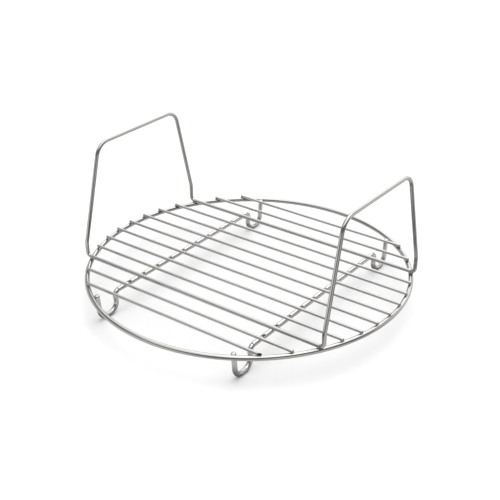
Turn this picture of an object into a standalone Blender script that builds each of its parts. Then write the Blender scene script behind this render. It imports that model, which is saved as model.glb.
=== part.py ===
"""Round wire cooling rack with two upright lifting handles.

Every piece is drawn stainless wire: a ring for the rim, thin straight wires lying across it, one
closed loop that is bent into both handles and two of the grille's bars, and two leg wires whose
ends are bent into U-shaped feet. The real pieces are spot welded where they meet. Here each of
those meetings keeps WELD_GAP between the flats of the two wires.

Units are metres. +Z is up, X runs along the grille wires and Y along the leg wires. The origin is
on the bench, under the middle of the rim.
"""
from math import ceil, cos, floor, pi, radians, sin, sqrt, tan

import bpy
from mathutils import Vector

# Wire diameters
RIM_WIRE = 0.0045
LEG_WIRE = 0.0045
HANDLE_WIRE = 0.0036
GRILLE_WIRE = 0.0028

# Rim
RIM_OUTER_DIAMETER = 0.300
RIM_HEIGHT = 0.0255  # bench to the centre of the rim wire

# Grille
GRILLE_PITCH = 0.019
GRILLE_MARGIN = 0.025  # least distance from the outermost wire to the rim's edge, across the wires
GRILLE_OVERHANG = 0.0006  # wire ends past the centre of the rim wire

# Handle loop
HANDLE_PLACES_IN = 2  # the loop's bars lie this many grille places in from the outermost wires
HANDLE_OUTSET = 0.0045  # uprights past the centre of the rim wire, along the grille wires
HANDLE_HEIGHT = 0.1078  # rim wire's centre to the centre of the top bar
HANDLE_SHOULDER = 0.0170  # rim wire's centre to the bend where the uprights start to lean in
HANDLE_GRIP = 0.1060  # width between the top corners, before they are rounded
HANDLE_LEAN = 0.0014  # the top bar lies this much nearer the middle than the uprights' feet
HANDLE_FOOT_BEND = 0.0030  # inside radii of the loop's bends
HANDLE_SHOULDER_BEND = 0.0075
HANDLE_CORNER_BEND = 0.0132

# Leg wires
LEG_SPACING = 0.150
LEG_DROP = 0.0045  # rim wire's centre down to the straight run's centre
LEG_BEND = 0.0025  # inside radius where the run turns down into a foot
FOOT_WIDTH = 0.0227  # between the foot's two arms at the bench, before the bends are rounded
FOOT_INNER_LEAN = 0.0045  # the inner arm's foot lies this much nearer the middle than its top
FOOT_OUTER_LEAN = 0.0025  # the outer arm's foot lies this much nearer the middle than its tip
FOOT_BEND = 0.0065  # inside radius of the two bends on the bench
TIP_DROP = 0.0003  # tip's end below the top of the rim wire

# Fits and cut ends
WELD_GAP = 0.0003
END_BEVEL = 0.0003  # rounding of the cut ends

# Fineness of the surfaces
THICK_SIDES = 12
THIN_SIDES = 8
RIM_STEPS = 96
BEND_STEP = radians(14)
BEND_SHARE = 0.98  # most of a straight that the bends at its two ends may take up


def half_flat(diameter, sides):
    """Distance from a wire's axis to its flats."""
    return diameter / 2 * cos(pi / sides)


rim_radius = (RIM_OUTER_DIAMETER - RIM_WIRE) / 2
rim_half = half_flat(RIM_WIRE, THICK_SIDES)
leg_half = half_flat(LEG_WIRE, THICK_SIDES)
handle_half = half_flat(HANDLE_WIRE, THICK_SIDES)
grille_half = half_flat(GRILLE_WIRE, THIN_SIDES)


def rim_chord(across):
    """Half the straight distance between the rim's sides at a place across the grille."""
    return sqrt(rim_radius ** 2 - across ** 2)


def steel(name, colour, roughness):
    """Bright drawn stainless steel."""
    material = bpy.data.materials.new(name)
    material.use_nodes = True
    shader = material.node_tree.nodes["Principled BSDF"]
    shader.inputs["Base Color"].default_value = (*colour, 1.0)
    shader.inputs["Roughness"].default_value = roughness
    shader.inputs["Metallic"].default_value = 1.0
    material.diffuse_color = (*colour, 1.0)
    return material


def bent_path(corners, radii, closed=False):
    """Points along straight runs joined by arcs of the given radii, one radius for each corner.

    An open path has no arc at its two ends. Where two arcs would not fit on the straight between
    them, both are drawn in until they do.
    """
    count = len(corners)
    bends = range(count) if closed else range(1, count - 1)
    reach = [0.0] * count
    turn = [0.0] * count
    for i in bends:
        arriving = corners[i] - corners[i - 1]
        leaving = corners[(i + 1) % count] - corners[i]
        turn[i] = arriving.angle(leaving)
        reach[i] = radii[i] * tan(turn[i] / 2)
    share = [1.0] * count
    for i in range(count if closed else count - 1):
        j = (i + 1) % count
        room = (corners[j] - corners[i]).length * BEND_SHARE
        wanted = reach[i] + reach[j]
        if wanted > room:
            share[i] = min(share[i], room / wanted)
            share[j] = min(share[j], room / wanted)
    points = []
    for i, corner in enumerate(corners):
        if reach[i] == 0.0:
            points.append(corner)
            continue
        tangent = reach[i] * share[i]
        radius = radii[i] * share[i]
        arriving = (corner - corners[i - 1]).normalized()
        leaving = (corners[(i + 1) % count] - corner).normalized()
        start = corner - arriving * tangent
        inward = (leaving - arriving * arriving.dot(leaving)).normalized()
        centre = start + inward * radius
        steps = max(2, ceil(turn[i] / BEND_STEP))
        for step in range(steps + 1):
            angle = turn[i] * step / steps
            points.append(centre - inward * (radius * cos(angle)) + arriving * (radius * sin(angle)))
    return points


def wire_curve(name, points, diameter, sides, material, closed=False):
    """Round wire along the points, its flats facing up and down and its cut ends bevelled."""
    curve = bpy.data.curves.new(name, "CURVE")
    curve.dimensions = "3D"
    curve.twist_mode = "MINIMUM"
    curve.bevel_depth = diameter / 2
    curve.bevel_resolution = sides // 2 - 2
    curve.use_fill_caps = not closed
    if not closed:
        first = points[0] + (points[1] - points[0]).normalized() * END_BEVEL
        last = points[-1] + (points[-2] - points[-1]).normalized() * END_BEVEL
        points = [points[0], first, *points[1:-1], last, points[-1]]
    spline = curve.splines.new("POLY")
    spline.use_cyclic_u = closed
    spline.points.add(len(points) - 1)
    for knot, point in zip(spline.points, points):
        knot.co = (*point, 1.0)
        knot.tilt = pi / sides
    if not closed:
        spline.points[0].radius = 1 - END_BEVEL / (diameter / 2)
        spline.points[-1].radius = spline.points[0].radius
    curve.materials.append(material)
    return curve


def place(name, curve, location):
    """A piece of the rack, standing where it is welded."""
    piece = bpy.data.objects.new(name, curve)
    piece.location = location
    piece.parent = rack
    bpy.context.collection.objects.link(piece)
    return piece


for leftover in list(bpy.data.objects):
    bpy.data.objects.remove(leftover)

rack = bpy.data.objects.new("rack", None)
bpy.context.collection.objects.link(rack)

# The rim: a ring of thick wire around the middle of the rack
rim_steel = steel("rim_steel", (0.60, 0.59, 0.57), 0.18)
rim_points = []
for step in range(RIM_STEPS):
    angle = 2 * pi * step / RIM_STEPS
    rim_points.append(Vector((rim_radius * cos(angle), rim_radius * sin(angle), 0)))
rim_curve = wire_curve("rim", rim_points, RIM_WIRE, THICK_SIDES, rim_steel, closed=True)
place("rim", rim_curve, (0, 0, RIM_HEIGHT))

# The leg wires: from a tip inside the rim, down round a foot, up to the straight run and the
# same again at the far end. Both legs are alike, so they share one curve.
leg_steel = steel("leg_steel", (0.60, 0.59, 0.57), 0.20)
tip_circle = rim_radius - rim_half - WELD_GAP - leg_half
tip_reach = sqrt(tip_circle ** 2 - (LEG_SPACING / 2) ** 2)
tip_height = RIM_HEIGHT + rim_half - TIP_DROP
run_height = RIM_HEIGHT - LEG_DROP
outer_arm = tip_reach - FOOT_OUTER_LEAN
inner_arm = outer_arm - FOOT_WIDTH
run_end = inner_arm + FOOT_INNER_LEAN
half_leg = [
    Vector((0, tip_reach, tip_height)),
    Vector((0, outer_arm, leg_half)),
    Vector((0, inner_arm, leg_half)),
    Vector((0, run_end, run_height)),
]
other_half = [Vector((0, -corner.y, corner.z)) for corner in reversed(half_leg)]
foot_radius = FOOT_BEND + LEG_WIRE / 2
run_radius = LEG_BEND + LEG_WIRE / 2
half_radii = [0, foot_radius, foot_radius, run_radius]
leg_points = bent_path(half_leg + other_half, half_radii + half_radii[::-1])
leg_curve = wire_curve("leg_wire", leg_points, LEG_WIRE, THICK_SIDES, leg_steel)
place("leg_wire_left", leg_curve, (-LEG_SPACING / 2, 0, 0))
place("leg_wire_right", leg_curve, (LEG_SPACING / 2, 0, 0))

# The handle loop: along one bar of the grille, up and over the right handle, back along the other
# bar and over the left handle. Its butt weld is at the middle of the first bar.
handle_steel = steel("handle_steel", (0.56, 0.55, 0.53), 0.18)
outermost = floor((rim_radius - GRILLE_MARGIN) / GRILLE_PITCH)
handle_place = outermost - HANDLE_PLACES_IN
bar_across = handle_place * GRILLE_PITCH
bar_height = rim_half + WELD_GAP + handle_half
upright = rim_chord(bar_across) + HANDLE_OUTSET
right_handle = [
    Vector((upright, bar_across, bar_height)),
    Vector((upright, bar_across, HANDLE_SHOULDER)),
    Vector((upright - HANDLE_LEAN, HANDLE_GRIP / 2, HANDLE_HEIGHT)),
    Vector((upright - HANDLE_LEAN, -HANDLE_GRIP / 2, HANDLE_HEIGHT)),
    Vector((upright, -bar_across, HANDLE_SHOULDER)),
    Vector((upright, -bar_across, bar_height)),
]
left_handle = [Vector((-corner.x, -corner.y, corner.z)) for corner in right_handle]
butt_weld = Vector((0, bar_across, bar_height))
handle_inside = [HANDLE_FOOT_BEND, HANDLE_SHOULDER_BEND, HANDLE_CORNER_BEND]
handle_radii = [inside + HANDLE_WIRE / 2 for inside in handle_inside]
side_radii = handle_radii + handle_radii[::-1]
loop_points = bent_path([butt_weld] + right_handle + left_handle, [0] + side_radii * 2, closed=True)
loop_curve = wire_curve("handle_loop", loop_points, HANDLE_WIRE, THICK_SIDES, handle_steel, closed=True)
place("handle_loop", loop_curve, (0, 0, RIM_HEIGHT))

# The grille: a thin wire at every place that the handle loop leaves free, front to back
grille_steel = steel("grille_steel", (0.62, 0.61, 0.59), 0.20)
wire_height = RIM_HEIGHT + rim_half + WELD_GAP + grille_half
free_places = [i for i in range(-outermost, outermost + 1) if abs(i) != handle_place]
for number, i in enumerate(free_places, start=1):
    across = i * GRILLE_PITCH
    end = Vector((rim_chord(across) + GRILLE_OVERHANG, 0, 0))
    name = f"grille_wire_{number:02d}"
    thin_curve = wire_curve(name, [-end, end], GRILLE_WIRE, THIN_SIDES, grille_steel)
    place(name, thin_curve, (0, across, wire_height))
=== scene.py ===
"""The looks of a round stainless wire cooling rack with two upright lifting handles.

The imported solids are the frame. Every wire is drawn again here as a true round wire with cut ends
and fused welds, in metres, where its solid lies: +Z up, X along the grille wires, Y along the legs.
"""
from math import cos, pi, radians, sin

import bpy
import numpy as np
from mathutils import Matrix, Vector


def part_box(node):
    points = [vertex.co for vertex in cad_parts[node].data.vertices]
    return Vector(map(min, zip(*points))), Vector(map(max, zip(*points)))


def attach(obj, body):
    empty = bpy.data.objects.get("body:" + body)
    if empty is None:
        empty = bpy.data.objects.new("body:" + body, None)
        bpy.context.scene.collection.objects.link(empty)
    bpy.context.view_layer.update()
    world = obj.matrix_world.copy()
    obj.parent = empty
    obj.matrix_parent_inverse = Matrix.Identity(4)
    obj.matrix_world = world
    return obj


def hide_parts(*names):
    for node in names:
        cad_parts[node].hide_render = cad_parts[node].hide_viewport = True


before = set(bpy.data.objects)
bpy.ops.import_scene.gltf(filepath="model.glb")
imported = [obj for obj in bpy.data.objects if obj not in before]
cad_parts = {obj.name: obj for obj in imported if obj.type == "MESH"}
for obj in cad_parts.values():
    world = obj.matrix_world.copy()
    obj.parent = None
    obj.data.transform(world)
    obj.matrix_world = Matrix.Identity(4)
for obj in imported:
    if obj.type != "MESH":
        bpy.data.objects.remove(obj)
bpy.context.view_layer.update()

# The rim: one length of thick drawn stainless wire rolled into a ring, its two ends butt welded.
# Everything else is welded to it: the grille and the handle loop on top, the leg tips on its inside.
RIM_ACROSS = 0.300
RIM_WIRE = 0.0045
RIM_BUTT_WELD = radians(200)  # place on the ring, from +X towards +Y
RIM_STEPS = 720  # straight steps that stand for its circle
# The same stainless as the other wires; its colour is set apart from theirs to match how bright the rim
# looks in this light: painted light.
RIM_COLOUR = (0.575, 0.565, 0.55)
BRIGHT = 0.05  # roughness of the thicker wires
UP = (0, 0, 1)
WIRE_SIDES = 32  # faces round the thicker wires
RING_SPACING = 0.0010  # distance between the rings of points along a bent wire
LOOK_AHEAD = 0.25  # share of that distance over which the wire's direction is read
UPSET_HEIGHT = 0.05  # swelling left by a butt weld, as a share of the wire's radius
UPSET_LENGTH = 0.0007
CUT_BEVEL = 0.00035  # rounding of a cropped end
CUT_RINGS = 6  # rings on that rounding
FLAT_RINGS = (0.45, 0.9)  # rings on the flat of the end, as shares of its radius
TINY = 1e-9  # lengths below this count as none


def unit(vectors):
    """Each vector divided by its length."""
    length = np.linalg.norm(vectors, axis=-1, keepdims=True)
    return vectors / np.maximum(length, TINY)


def travel_along(line):
    """Distance travelled to each point of a polyline: the running sum of its steps."""
    steps = np.linalg.norm(np.diff(line, axis=0), axis=1)
    return np.concatenate([[0.0], np.cumsum(steps)])


def read_off(line, places):
    """Points of a polyline at the given distances along it."""
    travel = travel_along(line)
    return np.stack([np.interp(places, travel, line[:, axis]) for axis in range(3)], axis=1)


def mesh_piece(name, points, faces, materials):
    """A mesh of these points and faces at the origin, shaded smooth, on the rack's one body."""
    mesh = bpy.data.meshes.new(name)
    mesh.from_pydata(points, [], faces)
    mesh.shade_smooth()
    for material in materials:
        mesh.materials.append(material)
    piece = bpy.data.objects.new(name, mesh)
    bpy.context.scene.collection.objects.link(piece)
    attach(piece, "root")
    return piece


def store(piece, name, kind, values):
    """Writes one value or vector for each point of a piece, for its material to read."""
    layer = piece.data.attributes.new(name, kind, "POINT")
    layer.data.foreach_set("vector" if kind == "FLOAT_VECTOR" else "value", np.ravel(values))


def closed_rings(length, radius, spacing):
    """Places and girths of the rings of a closed wire, whose line starts and ends at its butt weld.

    The girth swells there by a bell curve of the distance to the weld, either way round.
    """
    places = np.linspace(0, length, round(length / spacing), endpoint=False)
    away = np.minimum(places, length - places)
    return places, radius * (1 + UPSET_HEIGHT * np.exp(-(away / UPSET_LENGTH) ** 2))


def open_rings(length, radius, spacing, bevel):
    """Places and girths of the rings of an open wire, with a flat and a quarter-round at both ends.

    At angle b of the quarter-round the girth is radius - bevel * (1 - cos b), and the distance to
    the end is bevel * (1 - sin b).
    """
    corner = np.linspace(pi / 2, 0, CUT_RINGS)
    flat = (radius - bevel) * np.array(FLAT_RINGS)
    end_places = np.concatenate([np.zeros(len(flat)), bevel * (1 - np.sin(corner))])
    end_girth = np.concatenate([flat, radius - bevel * (1 - np.cos(corner))])
    steps = round((length - 2 * bevel) / spacing)
    run = np.linspace(bevel, length - bevel, steps + 1)[1:-1]
    places = np.concatenate([end_places, run, length - end_places[::-1]])
    girth = np.concatenate([end_girth, np.full(len(run), radius), end_girth[::-1]])
    return places, girth


def tube_faces(rings, sides, closed=False):
    """Quads between the rings of a tube, and the fans of triangles that shut an open one.

    Point j of ring i has the number i * sides + j. The two points where the fans meet, one for each
    end, come after the last ring.
    """
    i = np.arange(rings if closed else rings - 1)[:, None]
    j = np.arange(sides)
    after = (i + 1) % rings
    turn = (j + 1) % sides
    quads = np.stack([i * sides + j, i * sides + turn, after * sides + turn, after * sides + j], axis=-1)
    hub = np.full(sides, rings * sides)
    last = (rings - 1) * sides
    first_fan = np.stack([hub, turn, j], axis=1)
    last_fan = np.stack([hub + 1, last + j, last + turn], axis=1)
    return quads.reshape(-1, 4), np.concatenate([first_fan, last_fan])


def round_wire(name, line, diameter, lean, materials, closed=False, sides=WIRE_SIDES,
               spacing=RING_SPACING, bevel=CUT_BEVEL, slant=(0, 0)):
    """Round wire: a circle carried along a polyline.

    At a place p with direction t the ring is p + girth * (cos a * side + sin a * up), with
    side = lean x t and up = t x side. The cut at an open wire's last end leans forward by slant times
    the place across the wire. The attribute "grain" holds the distance along the wire and the place
    across it. A second material goes on the flats of the ends.
    """
    radius = diameter / 2
    length = travel_along(line)[-1]
    near = LOOK_AHEAD * spacing
    if closed:
        places, girth = closed_rings(length, radius, spacing)
        line = np.concatenate([line, line[1:2]])
        ahead = read_off(line, places + near)
        behind = read_off(line, np.where(places < near, places + length - near, places - near))
    else:
        places, girth = open_rings(length, radius, spacing, bevel)
        ahead = read_off(line, np.minimum(places + near, length))
        behind = read_off(line, np.maximum(places - near, 0))
    middle = read_off(line, places)
    direction = unit(ahead - behind)
    side = unit(np.cross(lean, direction))
    up = np.cross(direction, side)
    angle = np.linspace(0, 2 * pi, sides, endpoint=False)
    across = girth[:, None, None] * np.stack([np.cos(angle), np.sin(angle)], axis=1)
    at_last_end = places > length - bevel - TINY
    forward = across @ np.array(slant, float) * at_last_end[:, None]
    points = middle[:, None] + across[..., :1] * side[:, None] + across[..., 1:] * up[:, None]
    points = (points + forward[..., None] * direction[:, None]).reshape(-1, 3)
    travelled = np.broadcast_to(places[:, None, None], across.shape[:2] + (1,))
    grain = np.concatenate([travelled, across], axis=2).reshape(-1, 3)

    rings = len(places)
    quads, fans = tube_faces(rings, sides, closed)
    faces = quads.tolist()
    if not closed:
        points = np.concatenate([points, middle[[0, -1]]])
        grain = np.concatenate([grain, [[0, 0, 0], [length, 0, 0]]])
        faces += fans.tolist()
    piece = mesh_piece(name, points, faces, materials)
    store(piece, "grain", "FLOAT_VECTOR", grain)
    if len(materials) > 1:
        gap_of_quad = np.arange(len(quads)) // sides
        on_flat = (gap_of_quad < len(FLAT_RINGS)) | (gap_of_quad >= rings - 1 - len(FLAT_RINGS))
        cut = np.concatenate([on_flat, np.full(len(fans), True)])
        piece.data.polygons.foreach_set("material_index", cut.astype(np.int32))
    return piece


class Value:
    """A shader socket. Arithmetic on it adds Math nodes to its finish."""

    def __init__(self, finish, socket):
        self.finish = finish
        self.socket = socket

    def combine(self, operation, first, second):
        """The result of one Math node."""
        return self.finish.node("ShaderNodeMath", {"operation": operation}, {0: first, 1: second})

    def __add__(self, other):
        return self.combine("ADD", self, other)

    def __radd__(self, other):
        return self.combine("ADD", other, self)

    def __sub__(self, other):
        return self.combine("SUBTRACT", self, other)

    def __rsub__(self, other):
        return self.combine("SUBTRACT", other, self)

    def __mul__(self, other):
        return self.combine("MULTIPLY", self, other)

    def __rmul__(self, other):
        return self.combine("MULTIPLY", other, self)


class Finish:
    """A material or world under construction."""

    def __init__(self, owner):
        owner.use_nodes = True
        self.owner = owner
        self.tree = owner.node_tree
        self.tree.nodes.clear()

    def node(self, kind, settings=None, inputs=None, output=0):
        """Adds a node, sets its settings, fills its inputs with values or links, gives an output."""
        made = self.tree.nodes.new(kind)
        for key, value in (settings or {}).items():
            setattr(made, key, value)
        for key, value in (inputs or {}).items():
            if isinstance(value, Value):
                self.tree.links.new(value.socket, made.inputs[key])
            else:
                made.inputs[key].default_value = value
        return Value(self, made.outputs[output]) if made.outputs else None


def stored(finish, name, output):
    """What a piece's attribute holds."""
    return finish.node("ShaderNodeAttribute", {"attribute_name": name}, output=output)


def stretch(finish, vector, factors):
    """A vector with each of its parts multiplied."""
    return finish.node("ShaderNodeVectorMath", {"operation": "MULTIPLY"}, {0: vector, 1: factors})


def noise(finish, place, scale, detail):
    """Soft noise from 0 to 1."""
    return finish.node("ShaderNodeTexNoise", None, {"Vector": place, "Scale": scale, "Detail": detail})


def tone(colour, share=1.0):
    """A share of a colour, opaque."""
    return (*[share * part for part in colour], 1.0)


def colour_mix(finish, factor, first, second):
    """Colour between first and second."""
    return finish.node("ShaderNodeMix", {"data_type": "RGBA"}, {0: factor, 6: first, 7: second}, 2)


def bare_metal(finish, colour, roughness, height, relief, depth):
    """Ends a finish as metal, with a bump of this relief and depth, and gives the material."""
    bump = finish.node("ShaderNodeBump", None, {"Strength": relief, "Distance": depth, "Height": height})
    shader = finish.node("ShaderNodeBsdfPrincipled", None, {
        "Base Color": colour, "Roughness": roughness, "Metallic": 1.0, "Normal": bump})
    finish.node("ShaderNodeOutputMaterial", None, {"Surface": shader})
    return finish.owner


DIE_LINES = (35, 4500, 4500)  # cells of noise to the metre, along the wire and across it
DIE_DETAIL = 3.0
DIE_DARK = 0.86  # darkest and palest lines, as shares of the steel's colour
DIE_PALE = 1.08
DIE_ROUGHNESS = 0.06  # what a line, a smear and the heat of a weld add to the roughness
SMEAR_ROUGHNESS = 0.08
HEAT_ROUGHNESS = 0.14
DIE_RELIEF = 0.25
DIE_DEPTH = 0.00002
SMEARS = 160.0  # cells to the metre
SMEAR_DETAIL = 2.0
WELD_STAIN_AND_SHADE = (0.42, 0.34, 0.22)  # straw tint near welds: partly weld stain, partly painted shade where the wires meet
WELD_STAIN_AND_SHADE_SHARE = 0.45


def drawn_steel(name, colour, roughness):
    """Bright drawn stainless: faint die lines along the wire, soft smears, and near welds a straw tint
    that is partly weld stain and partly painted shade.
    """
    finish = Finish(bpy.data.materials.new(name))
    grain = stored(finish, "grain", "Vector")
    heat = stored(finish, "heat", "Fac")
    lines = noise(finish, stretch(finish, grain, DIE_LINES), 1.0, DIE_DETAIL)
    smear = noise(finish, grain, SMEARS, SMEAR_DETAIL)
    steel = colour_mix(finish, lines, tone(colour, DIE_DARK), tone(colour, DIE_PALE))
    # Near welds the steel takes a darker straw tint: partly weld stain, partly painted shade where the
    # wires meet.
    stained_and_shaded = colour_mix(finish, WELD_STAIN_AND_SHADE_SHARE * heat, steel, tone(WELD_STAIN_AND_SHADE))
    gloss = roughness + DIE_ROUGHNESS * lines + SMEAR_ROUGHNESS * smear + HEAT_ROUGHNESS * heat
    return bare_metal(finish, stained_and_shaded, gloss, lines, DIE_RELIEF, DIE_DEPTH)


rim_low, rim_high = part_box("rim")
rim_height = (rim_low.z + rim_high.z) / 2
rim_radius = (RIM_ACROSS - RIM_WIRE) / 2
rim_turn = RIM_BUTT_WELD + np.linspace(0, 2 * pi, RIM_STEPS + 1)
rim_circle = rim_radius * np.stack([np.cos(rim_turn), np.sin(rim_turn), 0 * rim_turn], axis=1)
rim_line = rim_circle + (0, 0, rim_height)
rim_steel = drawn_steel("rim_steel", RIM_COLOUR, BRIGHT)
rim = round_wire("rim_ring", rim_line, RIM_WIRE, UP, [rim_steel], closed=True)
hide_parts("rim")

# The leg wires: two thick wires, each bent three times at both ends into a U-shaped foot. The run
# hangs below the rim, and each tip comes up inside the rim and is welded to it.
LEG_WIRE = 0.0045
# The same stainless as the other wires, set paler than theirs to match how bright the legs look in this
# light: painted light.
LEG_COLOUR = (0.69, 0.68, 0.665)
LEG_CUT_COLOUR = (0.60, 0.59, 0.575)
TIP_REACH = 0.1221  # middle of the rack to a tip's axis, drawn to the rim by its weld
TIP_HEIGHT = 0.02737
TIP_ROUNDING = 0.0013
RUN_HEIGHT = 0.0210
FOOT_WIDTH = 0.0227  # between the foot's arms at the bench, before the bends are rounded
FOOT_INNER_LEAN = 0.0045  # how far out the tops of its arms lean
FOOT_OUTER_LEAN = 0.00272
FOOT_BEND = 0.00875  # radii of the bends, on the wire's axis
LEG_BEND = 0.00475
ARC_POINTS = 40
SIDEWAYS = (1, 0, 0)  # from one handle to the other
SHEAR_LINES = (100, 600, 5000)  # cells to the metre, along the wire and both ways across it
SHEAR_DETAIL = 2.0
SHEAR_DARK = 0.6  # darkest lines, as a share of the steel's colour
SHEAR_SMOOTH = 0.34  # roughness of the cut, and what a line adds to it
SHEAR_ROUGHNESS = 0.2
SHEAR_RELIEF = 0.4
SHEAR_DEPTH = 0.00005


def bent_line(corners, radii, closed=False):
    """Axis of a bent wire: straight runs between corners, joined by arcs.

    An arc touches both runs at radius * tan(turn / 2) from its corner, and its points are
    start + radius * (sin a * arriving + (1 - cos a) * inward) for a from 0 to the turn.
    """
    corners = np.asarray(corners, float)
    radii = np.asarray(radii, float)
    arriving = unit(corners - np.roll(corners, 1, axis=0))
    leaving = unit(np.roll(corners, -1, axis=0) - corners)
    cosine = np.clip((arriving * leaving).sum(axis=1), -1, 1)
    turn = np.arccos(cosine)
    if not closed:
        turn[[0, -1]] = 0
    inward = unit(leaving - cosine[:, None] * arriving)
    start = corners - arriving * (radii * np.tan(turn / 2))[:, None]
    angle = turn[:, None] * np.linspace(0, 1, ARC_POINTS)
    forward = np.sin(angle)[..., None] * arriving[:, None]
    sideways = (1 - np.cos(angle))[..., None] * inward[:, None]
    line = (start[:, None] + radii[:, None, None] * (forward + sideways)).reshape(-1, 3)
    if closed:
        line = np.concatenate([line, line[:1]])
    keep = np.concatenate([[True], np.linalg.norm(np.diff(line, axis=0), axis=1) > TINY])
    return line[keep]


def cropped_steel(name, colour):
    """End face of a cropped wire: duller and darker, with the shear's lines across it."""
    finish = Finish(bpy.data.materials.new(name))
    grain = stored(finish, "grain", "Vector")
    shear = noise(finish, stretch(finish, grain, SHEAR_LINES), 1.0, SHEAR_DETAIL)
    steel = colour_mix(finish, shear, tone(colour, SHEAR_DARK), tone(colour))
    gloss = SHEAR_SMOOTH + SHEAR_ROUGHNESS * shear
    return bare_metal(finish, steel, gloss, shear, SHEAR_RELIEF, SHEAR_DEPTH)


leg_steel = drawn_steel("leg_steel", LEG_COLOUR, BRIGHT)
leg_ends = cropped_steel("leg_cropped_ends", LEG_CUT_COLOUR)
outer_arm = TIP_REACH - FOOT_OUTER_LEAN
inner_arm = outer_arm - FOOT_WIDTH
foot = np.array([
    [0, TIP_REACH, TIP_HEIGHT],
    [0, outer_arm, LEG_WIRE / 2],
    [0, inner_arm, LEG_WIRE / 2],
    [0, inner_arm + FOOT_INNER_LEAN, RUN_HEIGHT]])
foot_radii = [0, FOOT_BEND, FOOT_BEND, LEG_BEND]
leg_corners = np.concatenate([foot, foot[::-1] * (1, -1, 1)])
leg_axis = bent_line(leg_corners, foot_radii + foot_radii[::-1])
legs = []
leg_places = []
for leg_name in ("leg_wire_left", "leg_wire_right"):
    leg_low, leg_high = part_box(leg_name)
    leg_place = (leg_low.x + leg_high.x) / 2
    leg = round_wire(leg_name + "_bent", leg_axis + (leg_place, 0, 0), LEG_WIRE, SIDEWAYS,
                     [leg_steel, leg_ends], bevel=TIP_ROUNDING)
    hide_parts(leg_name)
    legs.append(leg)
    leg_places.append(leg_place)

# The handle loop: one medium wire bent into both handles and two bars of the grille, and butt
# welded at the middle of the back bar. It lies on the rim and is welded to it at four places.
HANDLE_WIRE = 0.0036
# The same stainless as the other wires, set a little darker than the grille's to match how the handles
# look in this light: painted shade.
HANDLE_COLOUR = (0.57, 0.56, 0.545)
HANDLE_TOP = 0.1336  # heights on the wire's axis
FRONT_SHOULDER = 0.0425
BACK_SHOULDER = 0.0455
BAR_HEIGHT = 0.02935  # pressed a little into the rim by the welds
BAR_ACROSS = 0.0760  # middle of the rack to a bar
HANDLE_GRIP = 0.1060  # length of the top bar, before the bends are rounded
UPRIGHT = 0.13121  # middle of the rack to a handle's feet
RIGHT_DRAWN_IN = 0.0008  # how much nearer the middle the right handle's feet lie
HANDLE_LEAN = 0.0014  # how much nearer the middle the top bars lie than the left feet
HANDLE_FOOT_BEND = 0.0043
HANDLE_SHOULDER_BEND = 0.0093
HANDLE_CORNER_BEND = 0.0150
LOOP_LEAN = (1, 1, 0)  # no stretch of the loop runs this way


def handle_corners(foot_reach):
    """Corners of a handle on the right, from its back foot over the top bar to its front foot."""
    return np.array([
        [foot_reach, BAR_ACROSS, BAR_HEIGHT],
        [foot_reach, BAR_ACROSS, BACK_SHOULDER],
        [UPRIGHT - HANDLE_LEAN, HANDLE_GRIP / 2, HANDLE_TOP],
        [UPRIGHT - HANDLE_LEAN, -HANDLE_GRIP / 2, HANDLE_TOP],
        [foot_reach, -BAR_ACROSS, FRONT_SHOULDER],
        [foot_reach, -BAR_ACROSS, BAR_HEIGHT]])


butt_weld = np.array([[0, BAR_ACROSS, BAR_HEIGHT]])
right_handle = handle_corners(UPRIGHT - RIGHT_DRAWN_IN)
left_handle = handle_corners(UPRIGHT)[::-1] * (-1, 1, 1)
loop_corners = np.concatenate([butt_weld, right_handle, left_handle])
side_bends = [HANDLE_FOOT_BEND, HANDLE_SHOULDER_BEND, HANDLE_CORNER_BEND]
loop_radii = [0] + (side_bends + side_bends[::-1]) * 2
loop_line = bent_line(loop_corners, loop_radii, closed=True)
handle_steel = drawn_steel("handle_steel", HANDLE_COLOUR, BRIGHT)
loop = round_wire("handle_loop_bent", loop_line, HANDLE_WIRE, LOOP_LEAN, [handle_steel], closed=True)
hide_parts("handle_loop")

# The grille: thin straight wires, cropped to length and spot welded across the top of the rim. The
# front one has its right end trimmed at a slant, along the rim; its face is a painted dark reflection.
GRILLE_WIRE = 0.0028
GRILLE_SIDES = 24
GRILLE_SPACING = 0.0025
# The same stainless as the other wires; its colour is set apart from theirs to match how bright the
# grille looks in this light: painted light.
GRILLE_COLOUR = (0.62, 0.61, 0.595)
GRILLE_CUT_COLOUR = (0.42, 0.41, 0.40)
# The trimmed end's face is painted near black: a painted dark reflection, not the steel's own colour.
TRIM_PAINTED_DARK = (0.07, 0.068, 0.065)
TRIM_SLANT = (1.5, 0)
SATIN = 0.06  # roughness of the thin wires

grille_steel = drawn_steel("grille_steel", GRILLE_COLOUR, SATIN)
grille_ends = cropped_steel("grille_cropped_ends", GRILLE_CUT_COLOUR)
trimmed_end_painted_dark = cropped_steel("grille_trimmed_end_painted_dark", TRIM_PAINTED_DARK)
grille_nodes = sorted(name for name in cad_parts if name.startswith("grille_wire"))
grille = []
for node in grille_nodes:
    wire_low, wire_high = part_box(node)
    centre = (wire_low + wire_high) / 2
    axis = np.array([[wire_low.x, centre.y, centre.z], [wire_high.x, centre.y, centre.z]])
    trimmed = node == grille_nodes[0]
    wire = round_wire(node + "_round", axis, GRILLE_WIRE, UP,
                      [grille_steel, trimmed_end_painted_dark if trimmed else grille_ends],
                      sides=GRILLE_SIDES, spacing=GRILLE_SPACING, slant=TRIM_SLANT if trimmed else (0, 0))
    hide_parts(node)
    grille.append(wire)
grille_across = np.array([sum(corner.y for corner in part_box(node)) / 2 for node in grille_nodes])
grille_height = sum(corner.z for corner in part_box(grille_nodes[0])) / 2

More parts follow.
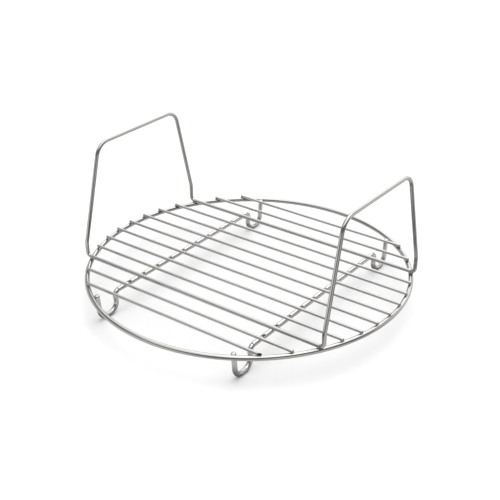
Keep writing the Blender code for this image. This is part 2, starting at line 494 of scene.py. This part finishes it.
# The welds: at every crossing with the rim the two wires are fused by a spot of melted steel, which
# fills the narrow corner between them. Its heat leaves the wires close by a little duller.
WELD_COLOUR = (0.40, 0.39, 0.375)
WELD_WALL = 0.00048  # distance between the two wires at the edge of a weld
TIP_WELD_WALL = 0.00065
WELD_WAIST = 0.90  # width of a weld at its middle and at the wires, as shares of its edge
WELD_FOOT = 1.15
WELD_SINK = 0.00003  # depth to which its edge goes into the wires
WELD_CORE = 0.25  # depth of the points that close it, as a share of a wire's diameter
WELD_SIDES = 32
WELD_RINGS = 7
CUT_LEDGE = 0.0002  # how far a weld stands out past the cut end of its wire
CUT_EASE = 4  # power by which its edge eases over to that end
TINT_REACH = 0.0030  # distance over which the heat of a weld, its stain and the painted shade round it fade
RIPPLES = 1400.0  # cells to the metre
RIPPLE_DETAIL = 2.0
RIPPLE_DARK = 0.7  # darkest ripples, as a share of the steel's colour
WELD_SMOOTH = 0.22  # roughness of a weld, and what a ripple adds to it
RIPPLE_ROUGHNESS = 0.2
RIPPLE_RELIEF = 0.5
RIPPLE_DEPTH = 0.00006


def melted_steel(name, colour):
    """Steel that has melted and set: a softer gloss and a fine ripple."""
    finish = Finish(bpy.data.materials.new(name))
    place = finish.node("ShaderNodeTexCoord", output="Object")
    ripple = noise(finish, place, RIPPLES, RIPPLE_DETAIL)
    steel = colour_mix(finish, ripple, tone(colour, RIPPLE_DARK), tone(colour))
    gloss = WELD_SMOOTH + RIPPLE_ROUGHNESS * ripple
    return bare_metal(finish, steel, gloss, ripple, RIPPLE_RELIEF, RIPPLE_DEPTH)


weld_steel = melted_steel("weld_steel", WELD_COLOUR)


def sag(diameter, aside):
    """How far a round wire's surface lies below its crest at a distance aside from it."""
    return diameter / 2 - np.sqrt((diameter / 2) ** 2 - aside ** 2)


def weld_spots(name, seats, normal, along_rim, along_wire, diameter, gap, wall, cut=None):
    """Melted spots between the rim and the wires that cross it: spools that fill the corner.

    A seat lies midway between the two, and its normal points from the rim's axis to the wire's. In a
    direction about the normal, aside is how far it goes across the rim or the wire. At a reach from
    the normal they are gap + reach ** 2 * sum of (aside ** 2 / diameter) apart, and the edge of the
    weld is the reach at which that is one wall. The spool runs from the rim's surface, which sags
    there by radius - sqrt(radius ** 2 - (reach * aside) ** 2), to the wire's, and is drawn in towards
    its waist by a parabola. A point inside each of them closes it. Where the wire ends close by, cut
    is the direction in which its end faces, divided by the distance to it, and the reach eases over
    to that distance: (reach ** -n + (direction . cut) ** n) ** (-1 / n), where n is CUT_EASE.
    """
    normal = np.broadcast_to(normal, seats.shape)
    across_rim = np.cross(normal, along_rim)
    across_wire = np.cross(normal, np.broadcast_to(along_wire, seats.shape))
    angle = np.linspace(0, 2 * pi, WELD_SIDES, endpoint=False)[:, None]
    outward = np.cos(angle) * along_rim[:, None] + np.sin(angle) * across_rim[:, None]
    rim_aside = (outward * across_rim[:, None]).sum(axis=2)
    wire_aside = (outward * across_wire[:, None]).sum(axis=2)
    reach = np.sqrt((wall - gap) / (rim_aside ** 2 / RIM_WIRE + wire_aside ** 2 / diameter))
    if cut is not None:
        facing = np.maximum((outward * cut[:, None]).sum(axis=2), 0)
        reach = (reach ** -CUT_EASE + facing ** CUT_EASE) ** (-1 / CUT_EASE)
    edge = WELD_FOOT * reach
    low = -sag(RIM_WIRE, edge * rim_aside) - gap / 2 - WELD_SINK
    high = sag(diameter, edge * wire_aside) + gap / 2 + WELD_SINK
    share = np.linspace(0, 1, WELD_RINGS)[:, None]
    width = WELD_WAIST + (WELD_FOOT - WELD_WAIST) * (2 * share - 1) ** 2
    height = low[:, None] + share * (high - low)[:, None]
    spools = (width * reach[:, None])[..., None] * outward[:, None]
    spools = spools + height[..., None] * normal[:, None, None]
    poles = WELD_CORE * np.array([[-RIM_WIRE], [diameter]]) * normal[:, None]
    points = np.concatenate([spools.reshape(len(seats), -1, 3), poles], axis=1) + seats[:, None]
    quads, fans = tube_faces(WELD_RINGS, WELD_SIDES)
    first = (np.arange(len(seats)) * points.shape[1])[:, None, None]
    faces = (quads + first).reshape(-1, 4).tolist() + (fans + first).reshape(-1, 3).tolist()
    return mesh_piece(name, points.reshape(-1, 3), faces, [weld_steel])


def rim_seats(across, height):
    """Places over the rim where wires lie across it, left ends first, and the rim's direction there.

    A wire at a distance across from the middle meets it at sqrt(rim_radius ** 2 - across ** 2).
    """
    reach = np.sqrt(rim_radius ** 2 - across ** 2)
    level = np.full_like(across, height)
    places = np.concatenate([np.stack([end * reach, across, level], axis=1) for end in (-1, 1)])
    return places, unit(np.cross(UP, places))


def store_weld_heat_and_shade(piece, spots):
    """Stores the heat, stain and painted shade that welds leave on a wire: a bell curve of the distance
    to the nearest spot.
    """
    points = np.empty(len(piece.data.vertices) * 3, np.float32)
    piece.data.vertices.foreach_get("co", points)
    away = np.linalg.norm(points.reshape(-1, 1, 3) - spots[None], axis=2).min(axis=1)
    store(piece, "heat", "FLOAT", np.exp(-(away / TINT_REACH) ** 2))


rim_top = rim_height + RIM_WIRE / 2
grille_gap = grille_height - GRILLE_WIRE / 2 - rim_top
grille_seats, rim_way = rim_seats(grille_across, rim_top + grille_gap / 2)
trimmed_seat = len(grille_nodes)  # the first on the right
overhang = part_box(grille_nodes[0])[1].x - grille_seats[trimmed_seat, 0]
end_facing = np.sign(grille_seats) * SIDEWAYS
end_facing[trimmed_seat, 1] = -TRIM_SLANT[0]
grille_welds = weld_spots("grille_welds", grille_seats, UP, rim_way, SIDEWAYS, GRILLE_WIRE,
                          grille_gap, WELD_WALL, cut=end_facing / (overhang + CUT_LEDGE))

bar_gap = BAR_HEIGHT - HANDLE_WIRE / 2 - rim_top
bar_seats, rim_way = rim_seats(np.array([-BAR_ACROSS, BAR_ACROSS]), rim_top + bar_gap / 2)
handle_welds = weld_spots("handle_welds", bar_seats, UP, rim_way, SIDEWAYS, HANDLE_WIRE,
                          bar_gap, WELD_WALL)

arm = unit(foot[0] - foot[1])
tip_across = TIP_REACH - (TIP_HEIGHT - rim_height) * arm[1] / arm[2]
tips = np.array([[place, across, 0] for place in leg_places for across in (-tip_across, tip_across)])
inward = -unit(tips)
rim_inside = rim_radius - RIM_WIRE / 2
tip_gap = rim_inside - LEG_WIRE / 2 - np.linalg.norm(tips[0])
tip_seats = -inward * (rim_inside - tip_gap / 2) + (0, 0, rim_height)
arms = arm * np.sign(tips) * (0, 1, 0) + arm * UP
arms = unit(arms - (arms * inward).sum(axis=1, keepdims=True) * inward)
tip_welds = weld_spots("tip_welds", tip_seats, inward, unit(np.cross(UP, tips)), arms, LEG_WIRE,
                       tip_gap, TIP_WELD_WALL)

weld_places = np.concatenate([grille_seats, bar_seats, tip_seats, rim_line[:1], butt_weld])
for piece in [rim, loop, *legs, *grille]:
    store_weld_heat_and_shade(piece, weld_places)

# The floor: a wide sheet of white paper, which takes the rack's shadow. Metal sees less of its light than
# the camera does: painted shade where it all but touches the metal, beneath the rack and where metal sees
# it only in other metal, and painted patches, one bright and two dark, at three places round the rack.
AZIMUTH = radians(36.504)  # the camera's place round the rack, from -Y towards +X
FLOOR_REACH = 3.0
PAPER_WHITE = 0.85
PAPER_LIFT = 0.10  # light added to the paper in the picture only
PAPER_TOUCHING = 0.325  # shares of the paper's light that metal sees: where it all but touches, a painted shade,
PAPER_NEAR = 0.70  # close by,
PAPER_FAR = 0.65  # further off,
PAPER_BENEATH = 0.325  # and further off beneath the rack, a painted shade
PAINTED_PATCHES = {radians(-60): 1.0, radians(-8): 0.12, radians(63): 0.215}  # painted patches, one bright and two dark: shares by place
PAINTED_TWICE_SHADE = 0.25  # painted shade: what is left of a share where metal sees the paper only in other metal
NEAR_EDGE = (0.010, 0.026)  # distances from metal to paper where one share passes into the next
FAR_EDGE = (0.045, 0.085)
BENEATH_EDGE = (0.11, 0.06)  # distances from the middle of the rack
PATCH_EDGE = (0.925, 0.992)  # cosines from the middle of a painted patch
TWICE_EDGE = (1, 2)  # mirrorings on the way to the paper

toward_camera = Vector((sin(AZIMUTH), -cos(AZIMUTH), 0))
to_the_right = Vector((cos(AZIMUTH), sin(AZIMUTH), 0))


def toward(place):
    """Level direction at an angle from the camera's side of the rack, turning to its right."""
    return cos(place) * toward_camera + sin(place) * to_the_right


def ease(finish, value, edge):
    """Smooth step from 0 at edge[0] to 1 at edge[1]."""
    inputs = {"Value": value, "From Min": edge[0], "From Max": edge[1]}
    return finish.node("ShaderNodeMapRange", {"interpolation_type": "SMOOTHSTEP"}, inputs)


def along(finish, vector, axis):
    """How far a vector goes along an axis."""
    inputs = {0: vector, 1: axis}
    return finish.node("ShaderNodeVectorMath", {"operation": "DOT_PRODUCT"}, inputs, "Value")


def aim(finish, vector):
    """A vector's direction, with a length of 1."""
    return finish.node("ShaderNodeVectorMath", {"operation": "NORMALIZE"}, {0: vector})


def light_path(finish, output):
    """What is known of the ray that looks: its kind, its length or its mirrorings."""
    return finish.node("ShaderNodeLightPath", output=output)


def blend(first, second, share):
    """The first at a share of 0, the second at a share of 1."""
    return first + share * (second - first)


paper = Finish(bpy.data.materials.new("white_paper"))
spot = paper.node("ShaderNodeTexCoord", output="Object")
outward = aim(paper, spot)
reach = paper.node("ShaderNodeVectorMath", {"operation": "LENGTH"}, {0: spot}, "Value")
distance = light_path(paper, "Ray Length")
# Painted shade in the paper as metal sees it, where it all but touches the metal and beneath the rack.
close = blend(PAPER_TOUCHING, PAPER_NEAR, ease(paper, distance, NEAR_EDGE))
away = PAPER_FAR
# Painted bright and dark patches in the paper as metal sees it.
for place, patch_share in PAINTED_PATCHES.items():
    away = blend(away, patch_share, ease(paper, along(paper, outward, toward(place)), PATCH_EDGE))
away = blend(away, PAPER_BENEATH, ease(paper, reach, BENEATH_EDGE))
once = blend(close, away, ease(paper, distance, FAR_EDGE))
# Painted shade where metal sees the paper only in other metal.
twice = ease(paper, light_path(paper, "Glossy Depth"), TWICE_EDGE)
share = once * blend(1, PAINTED_TWICE_SHADE, twice)
white = PAPER_WHITE * blend(1, share, light_path(paper, "Is Glossy Ray"))
plain = paper.node("ShaderNodeBsdfDiffuse", None, {"Color": white})
glimmer = PAPER_LIFT * light_path(paper, "Is Camera Ray")
lift = paper.node("ShaderNodeEmission", None, {"Strength": glimmer})
seen = paper.node("ShaderNodeAddShader", None, {0: plain, 1: lift})
paper.node("ShaderNodeOutputMaterial", None, {"Surface": seen})

floor_mesh = bpy.data.meshes.new("floor")
floor_corners = FLOOR_REACH * np.array([[-1, -1, 0], [1, -1, 0], [1, 1, 0], [-1, 1, 0]])
floor_mesh.from_pydata(floor_corners, [], [(0, 1, 2, 3)])
floor_mesh.materials.append(paper.owner)
floor = bpy.data.objects.new("floor", floor_mesh)
bpy.context.scene.collection.objects.link(floor)

# The light: a tent of white cloth round the rack, bright overhead and in a window at the back, pale
# along the horizon, dark between them and towards the camera, with a grey flag hung at the left. One
# broad soft lamp straight above, which the metal doesn't show, gives the shadows.
KEY_LIGHT = 0.5  # irradiance of the lamp
KEY_ANGLE = radians(40)
TENT_WHITE = (1.0, 1.0, 1.0, 1.0)
TENT_TOP = 1.84  # radiance of the parts of the tent
TENT_TOP_LEFT = 1.0
TENT_WINDOW = 1.84
TENT_BAND = 0.16
TENT_FLAG = 0.35
HORIZON_BACK = 1.08
HORIZON_LEFT = 0.64
HORIZON_FRONT = 0.24
TENT_IN_VIEW = 1.05  # what the camera sees of it, just past white
TOP_EDGE = (0.55, 0.63)  # rise where the white top begins and is full
TOP_TILT = 0.07  # the top's edge lies this much higher to the right
TOP_FRONT_LIFT = 0.14  # and this much higher towards the camera
HORIZON_EDGE = (0.46, 0.36)  # rise where the horizon's paleness begins and is full
HORIZON_DIP = 0.30  # and how much lower that is to the left
LEFT_EDGE = (0.0, -0.6)  # rightward parts of a direction
WINDOW_EDGE = (0.80, 0.93)  # cosines from the middle of the window, the dark side, the dip and the flag
DARK_EDGE = (0.15, 0.75)
DIP_EDGE = (0.55, 0.90)
FLAG_EDGE = (0.9455, 0.9877)
WINDOW_PLACE = radians(160)  # their places round the rack, from the camera to its right
DARK_PLACE = radians(22)
DIP_PLACE = radians(285)
FLAG_PLACE = radians(247)
FLAG_HEIGHT = radians(40.5)

world = bpy.data.worlds.new("tent")
bpy.context.scene.world = world
tent = Finish(world)
heading = tent.node("ShaderNodeTexCoord", output="Generated")
level = aim(tent, stretch(tent, heading, (1, 1, 0)))
rise = along(tent, heading, UP)
rightward = along(tent, heading, to_the_right)
left = ease(tent, rightward, LEFT_EDGE)
dark = ease(tent, along(tent, level, toward(DARK_PLACE)), DARK_EDGE)
window = ease(tent, along(tent, level, toward(WINDOW_PLACE)), WINDOW_EDGE)
dip = ease(tent, along(tent, level, toward(DIP_PLACE)), DIP_EDGE)
horizon = blend(blend(HORIZON_BACK, HORIZON_LEFT, left), HORIZON_FRONT, dark)
low = ease(tent, rise + HORIZON_DIP * dip, HORIZON_EDGE)
wall = blend(blend(TENT_BAND, TENT_WINDOW, window), horizon, low)
high = ease(tent, rise - TOP_TILT * rightward - TOP_FRONT_LIFT * dark, TOP_EDGE)
bare = blend(wall, blend(TENT_TOP, TENT_TOP_LEFT, left), high)
toward_flag = cos(FLAG_HEIGHT) * toward(FLAG_PLACE) + sin(FLAG_HEIGHT) * Vector(UP)
glow = blend(bare, TENT_FLAG, ease(tent, along(tent, heading, toward_flag), FLAG_EDGE))
strength = blend(glow, TENT_IN_VIEW, light_path(tent, "Is Camera Ray"))
sky = tent.node("ShaderNodeBackground", None, {"Color": TENT_WHITE, "Strength": strength})
tent.node("ShaderNodeOutputWorld", None, {"Surface": sky})

key_data = bpy.data.lights.new("key", "SUN")
key_data.energy = KEY_LIGHT
key_data.angle = KEY_ANGLE
key = bpy.data.objects.new("key", key_data)
key.visible_glossy = False
bpy.context.scene.collection.objects.link(key)

# The camera: where the photograph was taken from, above the front right of the rack, with a short
# telephoto lens.
ELEVATION = radians(28.034)
DISTANCE = 0.9268
TARGET = Vector((-0.01953, 0.02781, rim_height))
LENS = 69.99  # millimetres, as is the sensor's width
SENSOR = 36
camera_data = bpy.data.cameras.new("camera")
camera_data.lens = LENS
camera_data.sensor_width = SENSOR
camera = bpy.data.objects.new("camera", camera_data)
back = cos(ELEVATION) * toward_camera + sin(ELEVATION) * Vector(UP)
camera.location = TARGET + back * DISTANCE
camera.rotation_euler = (-back).to_track_quat("-Z", "Y").to_euler()
bpy.context.scene.collection.objects.link(camera)
bpy.context.scene.camera = camera
bpy.context.scene.view_settings.view_transform = "Standard"
